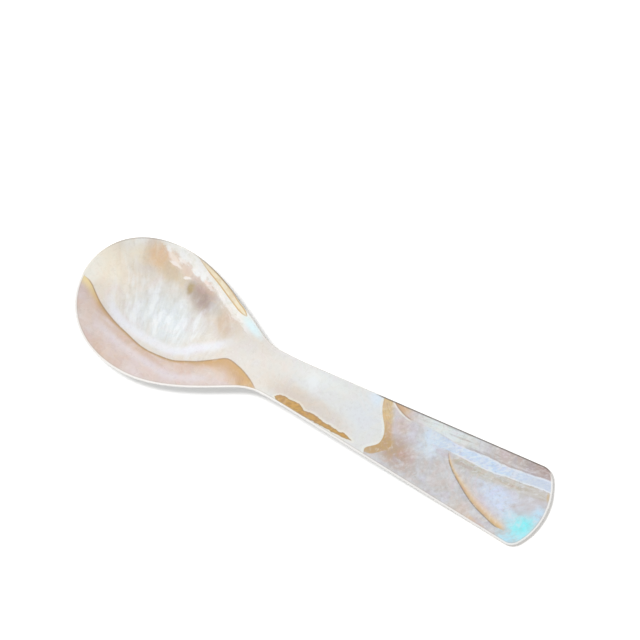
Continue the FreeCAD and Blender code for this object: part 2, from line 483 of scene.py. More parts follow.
loop_vertex = np.empty(len(skin.loops), int)
skin.loops.foreach_get("vertex_index", loop_vertex)
face_sizes = np.array([len(faces[i]) for i in kept])
loop_ring = np.repeat(np.array(kept) // loop_count, face_sizes)
on_top = (loop_ring < SEAM_RING)[:, None]
flat = np.where(on_top, top_flat[loop_vertex], under_flat[loop_vertex])
flat = (flat + (3.0, 0.0)) / 116 + np.where(on_top, (0.0, 0.75), (0.0, 0.25))
uv_map = skin.uv_layers.new(name="OFBake")
uv_map.data.foreach_set("uv", flat.ravel())
print("the flat layout reaches from", flat.min(axis=0).round(3), "to", flat.max(axis=0).round(3))

# %% [markdown]
# Mother-of-pearl grows in thin layers, and a carver cuts through them at a slant. Each layer
# comes to the surface as a line: honey-coloured where it is horn-like, white where it shines.
# Those lines run where the shell put them, so no regular texture gives them. Each is drawn
# here as a few points, and every vertex keeps its distance from the line as an attribute. The
# material can then lay a crisp or a soft band beside the line.


# %% Distance from a drawn line
def drawn_line(points):
    """Points every tenth of a millimetre along a smooth line through the given ones."""
    points = np.array(points, float)
    walk = np.r_[0, np.cumsum(np.hypot(*np.diff(points, axis=0).T))]
    first = (points[1] - points[0]) / walk[1]
    last = (points[-1] - points[-2]) / (walk[-1] - walk[-2])
    fine = np.linspace(0, walk[-1], int(walk[-1] / 0.1) + 2)
    return np.column_stack([flowing(walk, points[:, i], first[i], last[i])(fine) for i in (0, 1)])


def distance_from(points):
    """Distance of each vertex from the line: above 0 on its left, below 0 on its right."""
    line = drawn_line(points)
    run = np.gradient(line, axis=0)
    run /= np.linalg.norm(run, axis=1)[:, None]
    result = np.empty(len(corners))
    for start in range(0, len(corners), 6000):
        part = corners[start : start + 6000, :2]
        apart = ((part[:, None] - line[None]) ** 2).sum(axis=2)
        nearest = apart.argmin(axis=1)
        to_point = part - line[nearest]
        ahead_by = (to_point * run[nearest]).sum(axis=1)
        left_by = run[nearest, 0] * to_point[:, 1] - run[nearest, 1] * to_point[:, 0]
        beyond = np.maximum(np.abs(ahead_by) - 0.06, 0)
        result[start : start + 6000] = np.hypot(beyond, left_by) * np.sign(left_by)
    return result


print("a drawn line of 10 mm has", len(drawn_line([(0, 0), (10, 0)])), "points")

# %% [markdown]
# A shore is a line that closes on itself. There the sign says whether a vertex is inside it,
# which is found by counting how often the shore is crossed on the way out to one side.


# %% Distance into a closed line, and keeping it
def distance_into(points):
    """Distance of each vertex from a closed line: above 0 inside it, below 0 outside."""
    line = drawn_line(points)
    crossings = np.zeros(len(corners), int)
    for (x_0, y_0), (x_1, y_1) in zip(line[:-1], line[1:]):
        if y_0 != y_1:
            passes = (y_0 > corners[:, 1]) != (y_1 > corners[:, 1])
            crosses_at = x_0 + (corners[:, 1] - y_0) / (y_1 - y_0) * (x_1 - x_0)
            crossings += passes & (corners[:, 0] < crosses_at)
    return np.abs(distance_from(points)) * np.where(crossings % 2 == 1, 1, -1)


def keep(name, values):
    """Stores one number for each vertex under a name that the material can read."""
    attribute = skin.attributes.new(name, "FLOAT", "POINT")
    attribute.data.foreach_set("value", np.asarray(values, np.float32))
    print(f"{name}: {values.min():.2f} to {values.max():.2f}")


# %% [markdown]
# The honey line parts the cavity of the bowl from the rose layer. The white arc and the lilac
# line are painted highlights that follow it on either side, glint is the broken row of chips
# high on the far wall, along which glints are painted as highlights, and lip is the shore of a
# thin sliver of horn at the far rim.

# %% Lines in the bowl
honey_line = [
    (-1.5, 0.2), (0.3, -0.2), (1.8, -0.6), (3.8, -2.0), (6.0, -3.7), (8.6, -5.1), (11.4, -6.2),
    (14.5, -7.1), (17.0, -7.8), (19.8, -8.1), (22.6, -7.9), (25.4, -7.4), (27.4, -6.5),
    (29.6, -5.4), (31.8, -4.0), (33.8, -2.6), (35.2, -1.8), (37.2, -1.9), (39.4, -2.5),
    (41.4, -3.4), (43.4, -4.7), (45.5, -6.5),
]
highlight_arc_line = [
    (6.6, -2.0), (10.0, -4.3), (14.2, -5.7), (19.8, -6.0), (24.0, -5.7), (26.8, -4.3),
    (29.6, -2.0), (32.4, -0.1), (34.9, 2.2),
]
lilac_highlight_line = [(7.2, -7.9), (15.6, -9.9), (21.2, -10.5), (26.8, -10.5), (29.6, -9.3), (33.0, -7.6)]
glint_line = [(13.3, 13.0), (20.6, 11.4), (22.9, 10.9), (28.9, 8.5), (33.8, 6.1)]
lip_shore = [
    (18.6, 15.2), (20.8, 13.9), (23.5, 12.5), (26.5, 11.2), (29.35, 9.8), (31.9, 8.6),
    (34.1, 7.95), (34.8, 8.05), (34.4, 8.6), (32.4, 9.75), (29.5, 11.35), (26.8, 12.55),
    (24.0, 13.6), (21.0, 14.5), (18.6, 15.2),
]
honey_width = np.interp(
    corners[:, 0],
    (0.5, 4, 9, 14, 20, 28, 32.5, 35.5, 38, 41, 43.5),
    (1.5, 0.9, 0.6, 0.35, 0.3, 0.45, 1.3, 2.6, 3.0, 2.9, 2.6),
)
keep("honey", distance_from(honey_line))
keep("honey_width", honey_width)
keep("highlight_arc", distance_from(highlight_arc_line))
keep("lilac", distance_from(lilac_highlight_line))
keep("glint", distance_from(glint_line))
keep("lip", distance_into(lip_shore))

# %% [markdown]
# In the handle the lines are the shore of an amber island, the two sides of a honey belt, a
# fold behind it, the step of the hollow, and the two sides of the channel.

# %% Lines in the handle
amber_shore = [
    (47.6, -4.14), (48.1, -4.5), (49.8, -4.83), (52.3, -5.03), (54.9, -5.08), (58.6, -5.1),
    (62.4, -5.15), (64.9, -5.08), (66.5, -4.83), (65.4, -4.53), (64.4, -4.22), (63.1, -4.3),
    (61.1, -4.15), (58.9, -4.0), (57.6, -3.7), (56.6, -3.57), (55.6, -3.8), (54.6, -3.77),
    (53.4, -3.2), (50.85, -3.14), (48.4, -3.4), (47.6, -4.14),
]
belt_front_line = [
    (68.1, 7.6), (68.26, 6.5), (68.6, 5.0), (69.6, 3.0), (70.9, 1.24), (71.65, -0.26),
    (71.85, -1.5), (71.65, -2.64), (70.65, -3.77), (69.9, -4.4), (69.5, -5.0), (69.6, -5.6),
    (70.0, -6.9),
]
belt_back_line = [
    (70.1, 8.0), (70.6, 6.7), (71.4, 4.7), (72.2, 3.0), (73.0, 1.1), (74.3, -1.2), (74.3, -2.5),
    (73.3, -3.7), (72.2, -4.64), (71.3, -5.35), (70.4, -5.65), (69.3, -5.75),
]
fold_line = [(69.6, 7.8), (70.5, 6.7), (72.0, 5.7), (74.9, 4.8), (78.5, 4.9)]
step_line = [
    (85.3, 3.0), (85.8, 2.0), (86.4, 1.1), (88.1, -0.6), (90.6, -2.3), (93.4, -4.0),
    (96.2, -5.3), (99.1, -6.2), (101.3, -6.8), (103.5, -6.9),
]
vein_line = [
    (75.2, 5.0), (83.6, 5.0), (86.4, 4.8), (93.4, 5.4), (97.6, 5.5), (101.9, 6.1), (107.5, 7.0),
    (110, 7.4),
]
ridge_line = [
    (85.9, 2.7), (90.9, 2.9), (94.8, 2.9), (99.1, 3.6), (103.3, 4.1), (106.1, 4.6), (108.3, 4.8),
    (110, 5.0),
]
keep("amber", distance_into(amber_shore))
keep("belt_front", distance_from(belt_front_line))
keep("belt_back", distance_from(belt_back_line))
keep("fold", distance_from(fold_line))
keep("step", distance_from(step_line))
step_width = np.interp(corners[:, 0], (85.5, 88, 92, 97, 101, 104), (0.3, 0.6, 1.2, 1.6, 1.5, 1.1))
keep("step_width", step_width)
keep("vein", distance_from(vein_line))
keep("ridge", distance_from(ridge_line))

# %% [markdown]
# Two more numbers help to finish the edge: how far inside the outline a point lies, and
# how high it is between the underside, 0, and the top, 1.

# %% Distance from the edge, and height in the thickness
plan_now = corners[:, :2]
from_edge = np.empty(len(corners))
for start in range(0, len(corners), 4000):
    part = plan_now[start : start + 4000]
    apart = ((part[:, None] - edge[None]) ** 2).sum(axis=2)
    from_edge[start : start + 4000] = np.sqrt(apart.min(axis=1))
keep("inside", from_edge)
low_now = polished_under(plan_now)
level = (corners[:, 2] - low_now) / (carved_top(plan_now) - low_now)
keep("level", np.clip(level, 0, 1))

# %% [markdown]
# The colour is a stack of thin washes, as in watercolour. A material in Blender is a graph of
# small nodes; these helpers add one node and join it up in one line, so that the steps below
# read like a recipe. Colours are written as the screen shows them, from 0 to 255, and turned
# into the linear light that the shader reckons in.

# %% Helpers for the nacre
nacre = bpy.data.materials.new("nacre")
nacre.use_nodes = True
tree = nacre.node_tree
tree.nodes.clear()


def tone(red, green, blue):
    """Screen colour as linear light, with full cover."""
    screen = np.array((red, green, blue)) / 255
    linear = np.where(screen <= 0.04045, screen / 12.92, ((screen + 0.055) / 1.055) ** 2.4)
    return (*map(float, linear), 1.0)


def give(socket, value):
    """Joins an output to an input, or sets the input to a plain value."""
    if isinstance(value, bpy.types.NodeSocket):
        socket.id_data.links.new(value, socket)
    else:
        socket.default_value = value


def sum_up(operation, first, second=0.0, third=0.0):
    """One node that reckons with up to three numbers."""
    step = tree.nodes.new("ShaderNodeMath")
    step.operation = operation
    for socket, value in zip(step.inputs, (first, second, third)):
        give(socket, value)
    return step.outputs[0]


def stored(name):
    """Reads back a number that the vertices keep."""
    step = tree.nodes.new("ShaderNodeAttribute")
    step.attribute_name = name
    return step.outputs["Fac"]


print("horn on the screen is 206, 158, 70; in linear light", np.round(tone(206, 158, 70), 3))

# %% [markdown]
# A cover is a number from 0 to 1 that says where a wash lies and how strong it is. Covers are
# built from soft steps, and multiplied where a wash should stay only where all of them are.


# %% Washes and their covers
def ease(value, low, high, at_low=0.0, at_high=1.0):
    """Soft step: at_low up to low, at_high from high on."""
    step = tree.nodes.new("ShaderNodeMapRange")
    step.interpolation_type = "SMOOTHSTEP"
    for socket, number in zip(step.inputs, (value, low, high, at_low, at_high)):
        give(socket, number)
    return step.outputs[0]


def wash(under, colour, cover):
    """A wash of colour over what is under it."""
    step = tree.nodes.new("ShaderNodeMix")
    step.data_type = "RGBA"
    give(step.inputs[0], cover)
    give(step.inputs[6], under)
    give(step.inputs[7], colour)
    return step.outputs[2]


def coats(under, *rows):
    """Several washes over one another: screen colour and cover, the lowest first."""
    for colour, cover in rows:
        under = wash(under, tone(*colour), cover)
    return under


def times(*values):
    """Product of covers, so that a wash stays where all of them are."""
    result = values[0]
    for value in values[1:]:
        result = sum_up("MULTIPLY", result, value)
    return result


def between(value, low, high, soft):
    """1 between two limits, easing to 0 over the soft width at each."""
    rise = ease(value, low - soft / 2, low + soft / 2)
    fall = ease(value, high - soft / 2, high + soft / 2, 1.0, 0.0)
    return times(rise, fall)


print("nodes before the first wash:", len(tree.nodes))

# %% [markdown]
# Everything is placed in plan: X is the place along the spoon in millimetres from the nose, Y
# is the side. The object's own coordinates give that, so the pattern stays on the spoon when it
# moves. A low, slow noise bends the plan a little, because nothing in a shell runs straight.


# %% Plan of the shell
def vector_step(operation, first, second=(0, 0, 0), third=(0, 0, 0)):
    """One node that reckons with points in plan; a length comes out as a number."""
    step = tree.nodes.new("ShaderNodeVectorMath")
    step.operation = operation
    for socket, value in zip(step.inputs, (first, second, third)):
        give(socket, value)
    return step.outputs["Value" if operation == "LENGTH" else 0]


def mottle(where, scale, detail=2.0, roughness=0.5, distortion=0.0):
    """Soft noise. Its scale is how many blots fit in a millimetre."""
    step = tree.nodes.new("ShaderNodeTexNoise")
    for name, value in (
        ("Vector", where),
        ("Scale", scale),
        ("Detail", detail),
        ("Roughness", roughness),
        ("Distortion", distortion),
    ):
        give(step.inputs[name], value)
    return step


def bend(where, scale, reach):
    """The plan with a slow drift added, up to half the reach to each side."""
    drift = vector_step("SUBTRACT", mottle(where, scale).outputs["Color"], (0.5, 0.5, 0.5))
    return vector_step("MULTIPLY_ADD", drift, (reach, reach, 0), where)


body = tree.nodes.new("ShaderNodeTexCoord")
plan = vector_step("MULTIPLY_ADD", body.outputs["Object"], (1000, 1000, 0), (LENGTH / 2, 0, 0))
calm = bend(plan, 0.05, 3.0)
wavy = bend(plan, 0.2, 2.4)
split = tree.nodes.new("ShaderNodeSeparateXYZ")
give(split.inputs[0], plan)
place = split.outputs[0]
side = split.outputs[1]
level_in = stored("level")
inside = stored("inside")
print("the plan takes", len(tree.nodes), "nodes")

# %% [markdown]
# Clouds of colour are soft ovals. Each has its middle, how far it reaches along and across,
# a tilt, a colour and a cover. A node group holds the steps of one cloud, so that each further
# cloud is a single node.

# %% One cloud of colour as a node group
cloud = bpy.data.node_groups.new("cloud", "ShaderNodeTree")
for name, kind in (
    ("Under", "NodeSocketColor"),
    ("Plan", "NodeSocketVector"),
    ("Middle", "NodeSocketVector"),
    ("Reach", "NodeSocketVector"),
    ("Tilt", "NodeSocketFloat"),
    ("Colour", "NodeSocketColor"),
    ("Cover", "NodeSocketFloat"),
):
    cloud.interface.new_socket(name, in_out="INPUT", socket_type=kind)
cloud.interface.new_socket("Colour", in_out="OUTPUT", socket_type="NodeSocketColor")
outer_tree = tree
tree = cloud
given = cloud.nodes.new("NodeGroupInput").outputs
from_middle = vector_step("SUBTRACT", given["Plan"], given["Middle"])
turned = cloud.nodes.new("ShaderNodeVectorRotate")
turned.rotation_type = "Z_AXIS"
give(turned.inputs["Vector"], from_middle)
give(turned.inputs["Angle"], sum_up("MULTIPLY", given["Tilt"], -np.pi / 180))
how_far = vector_step("LENGTH", vector_step("DIVIDE", turned.outputs[0], given["Reach"]))
cover = times(ease(how_far, 0.15, 1.0, 1.0, 0.0), given["Cover"])
tinted = wash(given["Under"], given["Colour"], cover)
give(cloud.nodes.new("NodeGroupOutput").inputs[0], tinted)
tree = outer_tree
print(len(cloud.nodes), "nodes make one cloud")

# %% [markdown]
# Clouds are laid over a colour one by one, from a short table with a row for each.


# %% Lay clouds over a colour
def clouds(under, rows, where=wavy):
    """Lays clouds over a colour: middle, reach, tilt in degrees, screen colour, cover."""
    for middle, reach, tilt, colour, cover_here in rows:
        step = tree.nodes.new("ShaderNodeGroup")
        step.node_tree = cloud
        give(step.inputs["Under"], under)
        give(step.inputs["Plan"], where)
        step.inputs["Middle"].default_value = (*middle, 0)
        step.inputs["Reach"].default_value = (*reach, 1)
        step.inputs["Tilt"].default_value = tilt
        step.inputs["Colour"].default_value = tone(*colour)
        step.inputs["Cover"].default_value = cover_here
        under = step.outputs[0]
    return under


print("a cloud has", len(cloud.interface.items_tree) - 1, "settings")

# %% [markdown]
# The inside of the bowl is cream at the nose, honey-beige high on the left wall, cool white
# in the middle and beige again towards the neck.

# %% Clouds in the bowl
bowl_colour = clouds(
    tone(228, 220, 211),
    [
        ((3.5, 4.0), (8, 11), 60, (254, 244, 225), 0.95),
        ((1.0, 1.5), (3.5, 7), 0, (255, 252, 243), 0.85),
        ((8.0, 10.2), (5, 4), -40, (248, 239, 219), 0.8),
        ((7.4, 12.2), (5.0, 2.0), 42, (248, 246, 240), 0.9),
        ((6.8, -0.8), (5, 4), 0, (238, 226, 213), 0.8),
        ((12.9, 10.8), (5.6, 4.4), -20, (231, 193, 149), 1.0),
        ((17.3, 8.6), (5.6, 3.4), -10, (219, 195, 158), 0.8),
        ((12.0, 4.0), (8, 4), -25, (231, 219, 206), 0.6),
        ((18.5, 0.0), (12, 8.5), 10, (222, 228, 231), 0.9),
        ((22.0, -2.0), (6, 6), 0, (217, 225, 230), 0.7),
        ((24.8, 7.2), (5.5, 4.4), -25, (180, 157, 143), 0.95),
        ((31.4, 4.4), (5.5, 4.6), -25, (215, 192, 169), 0.95),
        ((28.2, 6.2), (2.2, 2.4), -25, (208, 203, 196), 0.6),
        ((27.0, 0.5), (4, 4), 0, (224, 222, 217), 0.6),
        ((36.5, 1.5), (4.5, 5), 0, (228, 220, 210), 0.8),
        ((40.0, 1.0), (6, 5), 0, (228, 223, 218), 0.8),
    ],
)
print("bowl clouds laid, node by node:", len(tree.nodes), "nodes so far")

# %% [markdown]
# The handle is a plain cool white as far as the honey-coloured belt. Behind the belt the cut
# runs through older layers, which shimmer mauve, rose, blue and, at the corner, sea green.

# %% Clouds in the handle
handle_colour = clouds(
    tone(232, 232, 230),
    [
        ((45.5, 0.5), (7, 5), 0, (230, 226, 221), 0.9),
        ((51.5, -2.2), (15, 3.4), -3, (222, 208, 194), 0.95),
        ((60.0, -2.6), (8, 2.6), 0, (225, 215, 207), 0.75),
        ((47.0, 3.0), (2.6, 3.2), -10, (238, 229, 222), 0.6),
        ((55.0, 3.4), (10, 2.4), 3, (237, 240, 239), 0.85),
        ((53.4, 2.6), (2.4, 3.0), 10, (244, 247, 248), 0.7),
        ((66.0, 1.5), (6, 6), 0, (229, 233, 237), 0.85),
        ((66.8, 5.4), (2.6, 2.2), -20, (226, 240, 254), 0.9),
    ],
)
tail_colour = clouds(
    tone(209, 205, 209),
    [
        ((75.5, 2.2), (5, 3.5), -50, (210, 197, 198), 0.85),
        ((76.5, -3.2), (7.0, 4.2), -15, (184, 148, 132), 1.0),
        ((81.5, 2.6), (5.0, 4.4), -50, (219, 233, 247), 1.0),
        ((81.0, -4.2), (5, 3), 0, (196, 186, 186), 0.8),
        ((88.0, -4.6), (5.5, 3), -25, (208, 201, 201), 0.7),
        ((94.5, -7.4), (7, 2.2), -8, (219, 204, 195), 0.85),
        ((99.5, -1.4), (8.5, 5.0), -15, (217, 230, 255), 1.0),
        ((92.0, 1.6), (8, 1.8), 3, (199, 192, 180), 0.8),
        ((102.5, 2.4), (5, 2.2), 5, (206, 202, 202), 0.7),
        ((108.6, -0.6), (2.2, 3.6), 8, (196, 232, 255), 0.9),
        ((106.8, -6.0), (5.6, 7.0), 40, (182, 242, 255), 1.0),
        ((106.9, -4.2), (4.4, 2.6), 40, (136, 248, 255), 1.0),
        ((104.8, -8.2), (3.8, 2.2), 0, (186, 236, 255), 0.9),
    ],
)
print("handle clouds laid:", len(tree.nodes), "nodes so far")

# %% [markdown]
# A shell is built of fine fibres, and light catches some of them as white streaks. Noise that
# is stretched a long way in one direction gives them. In the handle they all run one way: the
# plan is turned so that its X runs along the fibres, then squeezed along them. In the bowl they
# spread like a fan from the near side, so there the noise is laid out by angle and distance.


# %% Stretched noise for fibres
def streaks(tilt, along, across, detail=2.0, where=calm):
    """Noise stretched in the direction of the tilt, in degrees from the length of the spoon."""
    turn_plan = tree.nodes.new("ShaderNodeVectorRotate")
    turn_plan.rotation_type = "Z_AXIS"
    give(turn_plan.inputs["Vector"], where)
    turn_plan.inputs["Angle"].default_value = float(np.radians(-tilt))
    squeezed = vector_step("MULTIPLY", turn_plan.outputs[0], (along, across, 1))
    return mottle(squeezed, 1.0, detail).outputs["Fac"]


def fan(foot, along, across, detail=2.0):
    """Noise stretched along the rays from a foot point; across counts at 30 mm from it."""
    from_foot = vector_step("SUBTRACT", calm, (*foot, 0))
    parts = tree.nodes.new("ShaderNodeSeparateXYZ")
    give(parts.inputs[0], from_foot)
    swing = sum_up("ARCTAN2", parts.outputs[0], parts.outputs[1])
    laid_out = tree.nodes.new("ShaderNodeCombineXYZ")
    give(laid_out.inputs[0], times(swing, 30 * across))
    give(laid_out.inputs[1], times(vector_step("LENGTH", from_foot), along))
    return mottle(laid_out.outputs[0], 1.0, detail).outputs["Fac"]


broad_fibres = fan((27, -36), 0.18, 0.75, 2.0)
fine_fibres = fan((27, -36), 0.4, 2.6, 1.5)
slant_fibres = streaks(-62, 0.09, 0.42)
middle = times(ease(side, -8.0, -3.0), between(place, 7.0, 34.0, 8.0))
bright_middle = times(middle, ease(side, 9.0, 3.0, 0.2, 1.0), ease(place, 31.0, 26.0, 0.3, 1.0))
far_left = times(ease(side, 1.0, 6.0), between(place, 4.0, 11.5, 3.0))
far_right = times(between(place, 26.0, 34.0, 4.0), between(side, -1.0, 6.0, 3.0))
for fibres, low, high, colour, where, cover_here in (
    (slant_fibres, 0.46, 0.62, (238, 232, 226), far_right, 0.4),
    (slant_fibres, 0.5, 0.7, (252, 249, 242), far_left, 0.5),
    (slant_fibres, 0.5, 0.32, (216, 197, 168), far_left, 0.35),
    (broad_fibres, 0.48, 0.66, (243, 246, 249), bright_middle, 0.65),
    (broad_fibres, 0.5, 0.3, (207, 192, 172), middle, 0.25),
    (fine_fibres, 0.5, 0.72, (246, 244, 240), bright_middle, 0.25),
    (fine_fibres, 0.48, 0.3, (202, 190, 174), middle, 0.18),
):
    fibres_here = times(ease(fibres, low, high), where, cover_here)
    bowl_colour = wash(bowl_colour, tone(*colour), fibres_here)
print("fibres laid over the bowl:", len(tree.nodes), "nodes so far")

# %% [markdown]
# Along the lower wall of the bowl lies a broad white arc, a painted highlight. Higher up on the
# far wall a broken line of glints, painted highlights, follows a layer that the bowl just
# grazes, and between it and the rim the wall is pale, partly its own colour and partly painted
# highlight. A brown speck lies below the line.

# %% Bright arc, glints and speck in the bowl
# painted highlight: a broad white arc along the lower wall of the bowl
highlight_arc_away = sum_up("ABSOLUTE", stored("highlight_arc"))
highlight_arc_here = times(ease(highlight_arc_away, 0.2, 1.5, 1.0, 0.0), between(place, 7.5, 34, 5), 0.85)
bowl_colour = wash(bowl_colour, tone(238, 239, 246), highlight_arc_here)
glint = stored("glint")
blots = mottle(wavy, 0.55, 2.0).outputs["Fac"]
jag = mottle(wavy, 0.9, 3.0).outputs["Fac"]
ragged = sum_up("MULTIPLY_ADD", sum_up("SUBTRACT", jag, 0.5), 3.0, glint)
# partly painted highlight: the far wall between the glints and the rim is painted pale
pale_wall_and_highlight = times(ease(ragged, -0.4, 0.8), between(place, 12.0, 36, 5), 0.9)
wall_colour = wash(tone(255, 255, 254), tone(246, 246, 239), ease(blots, 0.56, 0.4))
bowl_colour = wash(bowl_colour, wall_colour, pale_wall_and_highlight)
flecks = streaks(-24, 0.4, 0.9, 3.0)
below_glints = times(between(ragged, -1.9, 0.2, 1.2), between(place, 14, 27, 3))
bowl_colour = wash(bowl_colour, tone(241, 212, 192), times(below_glints, 0.45))
bowl_colour = clouds(
    bowl_colour,
    [
        ((24.2, 7.5), (5.2, 3.2), -28, (170, 145, 135), 0.55),
        ((21.4, 7.7), (1.2, 2.0), 8, (180, 154, 102), 0.95),
        # from here on: the pale band by the rim and the glints, painted highlights on the far wall
        ((14.0, 14.6), (5.5, 1.3), 3, (248, 249, 245), 0.9),
        ((13.8, 13.0), (1.3, 0.7), -40, (255, 254, 252), 1.7),
        ((15.4, 11.8), (2.4, 0.8), -22, (252, 236, 222), 1.5),
        ((16.4, 10.8), (2.2, 0.5), -8, (255, 243, 234), 1.8),
        ((17.3, 12.0), (1.5, 0.5), -15, (254, 246, 240), 1.6),
        ((21.0, 11.4), (1.6, 0.9), -30, (255, 255, 253), 1.9),
        ((22.8, 10.9), (1.3, 0.8), -50, (255, 255, 252), 1.9),
        ((23.9, 10.3), (1.1, 0.5), -20, (250, 232, 222), 1.5),
        ((19.8, 9.3), (1.0, 0.5), 20, (253, 247, 243), 1.6),
        ((26.6, 10.2), (1.7, 0.7), -30, (253, 247, 243), 1.6),
        ((28.3, 9.2), (1.6, 0.6), -30, (254, 250, 246), 1.6),
        ((30.9, 7.7), (1.7, 0.5), -30, (247, 240, 234), 1.2),
    ],
    bend(plan, 0.6, 0.9),
)
# painted highlights: small white glints along the glint line
sparkle = times(between(ragged, -0.7, 0.6, 0.8), ease(flecks, 0.52, 0.6), between(place, 13.5, 33, 2))
bowl_colour = wash(bowl_colour, tone(253, 249, 245), times(sparkle, 0.6))
print("glints and speck laid on")

# %% [markdown]
# High on the far side the rim cuts a slanting horn layer: a thin cream sliver with a golden
# line round it, which is crisp towards the neck and soft towards the nose.

# %% Horn sliver on the far rim
lip = stored("lip")
lip_colour = wash(tone(214, 174, 106), tone(250, 236, 206), ease(lip, 0.1, 0.36))
lip_colour = wash(lip_colour, tone(226, 200, 150), times(ease(flecks, 0.52, 0.4), 0.4))
lip_cover = times(ease(lip, -0.12, 0.08), ease(place, 19.0, 25.0, 0.45, 1.0))
bowl_colour = wash(bowl_colour, tone(250, 248, 242), times(between(lip, -0.7, -0.1, 0.3), 0.5))
bowl_colour = wash(bowl_colour, lip_colour, lip_cover)
print("horn sliver laid on")

# %% [markdown]
# The near side of the bowl is a different layer: rose-beige, a little darker close under the
# line that parts it from the cavity, with a lilac stripe of painted highlight farther down.

# %% Rose band under the honey line
rose_colour = clouds(
    tone(225, 206, 200),
    [
        ((4.5, -7.5), (4, 4), -40, (225, 207, 197), 0.7),
        ((11.0, -12.2), (7, 2.5), -12, (224, 194, 173), 0.9),
        ((18.0, -13.2), (6, 1.8), 0, (229, 211, 205), 0.7),
        ((32.0, -6.6), (7, 2.6), 27, (226, 212, 203), 0.8),
        ((38.5, -5.2), (3, 1.6), 10, (222, 200, 186), 0.8),
    ],
)
below = sum_up("MULTIPLY", stored("honey"), -1.0)
rose_streaks = streaks(-8, 0.1, 0.5)
rose_blots = mottle(wavy, 0.3, 3.0).outputs["Fac"]
near_line = ease(below, 0.1, 3.0, 1.0, 0.0)
rose_colour = coats(
    rose_colour,
    ((210, 178, 153), times(near_line, 0.85)),
    ((218, 188, 178), times(ease(rose_blots, 0.52, 0.32), 0.55)),
    ((234, 217, 214), times(ease(rose_blots, 0.5, 0.68), 0.4)),
    ((236, 226, 226), times(ease(rose_streaks, 0.52, 0.72), 0.35)),
)
# painted highlight: a pale lilac stripe low on the near wall of the bowl
lilac_highlight_away = sum_up("ABSOLUTE", stored("lilac"))
lilac_highlight_here = times(ease(lilac_highlight_away, 0.1, 1.3, 1.0, 0.0), between(place, 8, 33, 5), 0.75)
rose_colour = wash(rose_colour, tone(231, 220, 224), lilac_highlight_here)
print("rose band laid on")

# %% [markdown]
# The honey line itself is broad at the nose, a thread along the middle, and opens to a wedge
# at the neck. Its width at each place is stored beside its distance, and their ratio gives the
# cover. A darker thread marks its upper side.

# %% Honey line
in_line = sum_up("DIVIDE", below, stored("honey_width"))
wedge = ease(place, 38.5, 41.0)
honey_soft = times(ease(in_line, 0.15, 1.5, 1.0, 0.0), sum_up("SUBTRACT", 1.0, wedge))
honey_crisp = times(ease(in_line, 0.9, 1.05, 1.0, 0.0), wedge)
honey_here = times(
    ease(below, -0.12, 0.08),
    sum_up("ADD", honey_soft, honey_crisp),
    ease(place, 44.0, 44.6, 1.0, 0.0),
)
honey_streaks = streaks(-48, 0.8, 2.6, 2.0, plan)
honey_colour = wash(tone(254, 232, 174), tone(200, 162, 112), ease(place, 0.5, 7.0))
honey_colour = wash(honey_colour, tone(206, 162, 106), ease(place, 29.0, 34.0))
grooves = times(ease(honey_streaks, 0.55, 0.4), ease(place, 35.0, 39.0), 0.6)
honey_colour = wash(honey_colour, tone(188, 144, 88), grooves)
shines = times(ease(honey_streaks, 0.48, 0.6), ease(place, 39.5, 42.0), 0.6)
honey_colour = wash(honey_colour, tone(232, 198, 140), shines)
crest = times(ease(in_line, 0.1, 0.7, 1.0, 0.0), ease(place, 33.0, 38.0), 0.6)
honey_colour = wash(honey_colour, tone(214, 170, 98), crest)
cavity = ease(below, -0.08, 0.04, 1.0, 0.0)
under_line = sum_up("MAXIMUM", cavity, ease(place, 42.5, 45.0))
bowl_colour = wash(rose_colour, bowl_colour, under_line)
wedge_glow = times(ease(in_line, 0.6, 1.8, 1.0, 0.0), between(place, 33.0, 41.5, 4.0), 0.6)
bowl_colour = wash(bowl_colour, tone(220, 186, 152), times(wedge_glow, ease(below, -0.12, 0.08)))
bowl_colour = wash(bowl_colour, honey_colour, honey_here)
dark_thread = times(between(below, -0.15, 0.12, 0.14), between(place, 1.5, 43.4, 2.5), 0.7)
bowl_colour = wash(bowl_colour, tone(160, 120, 74), dark_thread)
print("honey line laid on")

# %% [markdown]
# On the neck a small patch of blue-green lustre lies against the far edge. Then the bowl's
# colours pass into the plain white of the handle.

# %% Neck
bowl_colour = clouds(bowl_colour, [((36.9, 6.6), (4.4, 1.5), -24, (231, 252, 255), 1.0)], plan)
front_colour = wash(bowl_colour, handle_colour, ease(place, 41.0, 48.0))
print("neck and handle joined in colour")

# %% [markdown]
# At the near edge of the handle the cut just touches the horn layer again: an amber island
# with a wavy shore, a pale outline and fine slanting grooves.

# %% Amber island
amber_jag = sum_up("SUBTRACT", mottle(wavy, 0.8, 3.0).outputs["Fac"], 0.5)
amber = sum_up("MULTIPLY_ADD", amber_jag, 0.7, stored("amber"))
amber_halo = times(between(amber, -0.4, 0.0, 0.2), 0.5)
front_colour = wash(front_colour, tone(248, 243, 228), amber_halo)
amber_here = ease(amber, -0.1, 0.12)
amber_grooves = streaks(35, 0.9, 2.4, 2.0, plan)
amber_colour = wash(tone(172, 130, 62), tone(206, 158, 70), ease(amber, 0.05, 0.4))
amber_colour = wash(amber_colour, tone(182, 134, 62), times(ease(amber_grooves, 0.54, 0.4), 0.85))
front_colour = wash(front_colour, amber_colour, amber_here)
print("amber island laid on")

# %% [markdown]
# A honey belt crosses the handle. Its front is crisp, with a pale outline, and its back melts
# into the mauve layers behind it. At its foot it stops a little short of the edge.

